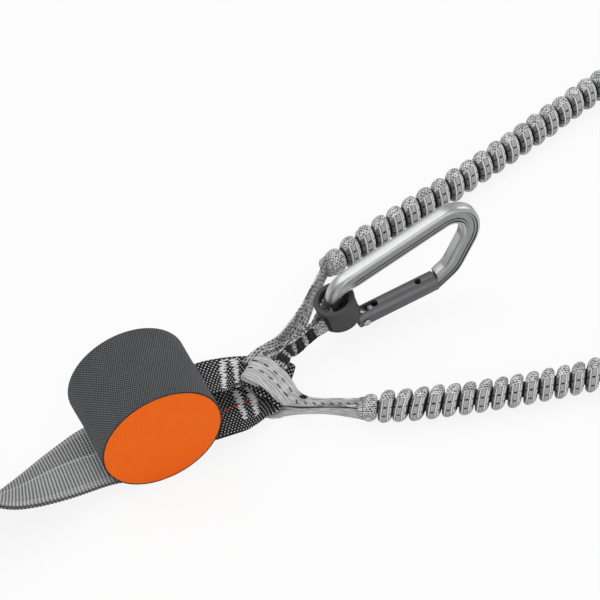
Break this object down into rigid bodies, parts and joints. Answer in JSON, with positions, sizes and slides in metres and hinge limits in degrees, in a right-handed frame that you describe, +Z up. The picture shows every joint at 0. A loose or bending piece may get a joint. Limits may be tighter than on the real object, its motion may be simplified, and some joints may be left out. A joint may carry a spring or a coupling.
{
  "type": "via ferrata lanyard",
  "caption": "Via ferrata lanyard: tear-webbing energy absorber in a round pouch, harness loop, load strap, gathered elastic arms with palm-lever connectors and a rest carabiner.",
  "frame": {"origin": "middle of the narrow flat on which the absorber pouch lies", "axes": "+X from the harness loop towards the arms, +Z up, and the pouch's coloured end faces -Y"},
  "size_m": [0.8133, 0.2578, 0.0657],
  "materials": {
    "pouch_fabric": "tight woven twill",
    "end_panel_fabric": "bright dense weave",
    "piping": "corded edge tape",
    "webbing": "ribbed flat weave",
    "load_webbing": "flecked flat weave",
    "core_rubber": "matt",
    "keeper_rubber": "matt, moulded",
    "forged_alloy": "satin, tumbled",
    "anodised_alloy": "dark anodised",
    "bright_steel": "bright"
  },
  "bodies": {
    "lanyard": {"pouch_sleeve": "pouch_fabric", "pouch_end_front": "end_panel_fabric", "pouch_end_back": "pouch_fabric", "piping_front": "piping", "piping_back": "piping", "tear_webbing": "webbing", "harness_loop": "webbing", "load_strap": "load_webbing", "yoke_band": "webbing", "yoke_lower_leg": "webbing", "yoke_upper_strand": "webbing", "carabiner_sling": "webbing", "sling_keeper_rest": "keeper_rubber", "arm_sleeve_upper": "webbing", "arm_core_upper": "core_rubber", "arm_eye_upper": "webbing", "sling_keeper_upper": "keeper_rubber", "arm_sleeve_right": "webbing", "arm_core_right": "core_rubber", "arm_eye_right": "webbing", "sling_keeper_right": "keeper_rubber"},
    "connector_rest": {"carabiner_body_rest": "forged_alloy", "gate_rivet_rest": "bright_steel"},
    "gate_rest": {"gate_tube_rest": "anodised_alloy", "gate_spring_rest": "bright_steel", "gate_plunger_rest": "bright_steel"},
    "connector_upper": {"carabiner_body_upper": "forged_alloy", "gate_rivet_upper": "bright_steel", "lever_pin_upper": "bright_steel"},
    "gate_upper": {"gate_tube_upper": "anodised_alloy", "gate_spring_upper": "bright_steel", "gate_plunger_upper": "bright_steel"},
    "lever_upper": {"palm_lever_upper": "anodised_alloy"},
    "connector_right": {"carabiner_body_right": "forged_alloy", "gate_rivet_right": "bright_steel", "lever_pin_right": "bright_steel"},
    "gate_right": {"gate_tube_right": "anodised_alloy", "gate_spring_right": "bright_steel", "gate_plunger_right": "bright_steel"},
    "lever_right": {"palm_lever_right": "anodised_alloy"}
  },
  "joints": [
    {"name": "connector_swing_rest", "type": "hinge", "parent": "lanyard", "child": "connector_rest", "pos_m": [0.12373, 0.025, 0.00456], "axis": [-0.3746, 0, 0.9272], "range_deg": [-45, 25]},
    {"name": "gate_open_rest", "type": "hinge", "parent": "connector_rest", "child": "gate_rest", "pos_m": [0.132, 0.025, 0.0079], "axis": [0, -1, 0], "range_deg": [0, 26], "stiffness_Nm_per_rad": 0.25, "springref_deg": -20.05},
    {"name": "connector_lift_upper", "type": "hinge", "parent": "lanyard", "child": "connector_upper", "pos_m": [0.55176, 0.06909, 0.0101], "axis": [0, -1, 0], "range_deg": [0, 75]},
    {"name": "gate_open_upper", "type": "hinge", "parent": "connector_upper", "child": "gate_upper", "pos_m": [0.56261, 0.06909, 0.0096], "axis": [0.0462, 0, 0.9989], "range_deg": [0, 25], "stiffness_Nm_per_rad": 0.35, "springref_deg": -20.05},
    {"name": "lever_press_upper", "type": "hinge", "parent": "connector_upper", "child": "lever_upper", "pos_m": [0.58499, 0.11884, 0.00856], "axis": [-0.0462, 0, -0.9989], "range_deg": [0, 4.5], "stiffness_Nm_per_rad": 0.6, "springref_deg": -3.44},
    {"name": "connector_lift_right", "type": "hinge", "parent": "lanyard", "child": "connector_right", "pos_m": [0.53376, -0.09911, 0.0101], "axis": [0, -1, 0], "range_deg": [0, 75]},
    {"name": "gate_open_right", "type": "hinge", "parent": "connector_right", "child": "gate_right", "pos_m": [0.54461, -0.09911, 0.0096], "axis": [0.0462, 0, 0.9989], "range_deg": [0, 25], "stiffness_Nm_per_rad": 0.35, "springref_deg": -20.05},
    {"name": "lever_press_right", "type": "hinge", "parent": "connector_right", "child": "lever_right", "pos_m": [0.56699, -0.04936, 0.00856], "axis": [-0.0462, 0, -0.9989], "range_deg": [0, 4.5], "stiffness_Nm_per_rad": 0.6, "springref_deg": -3.44}
  ]
}
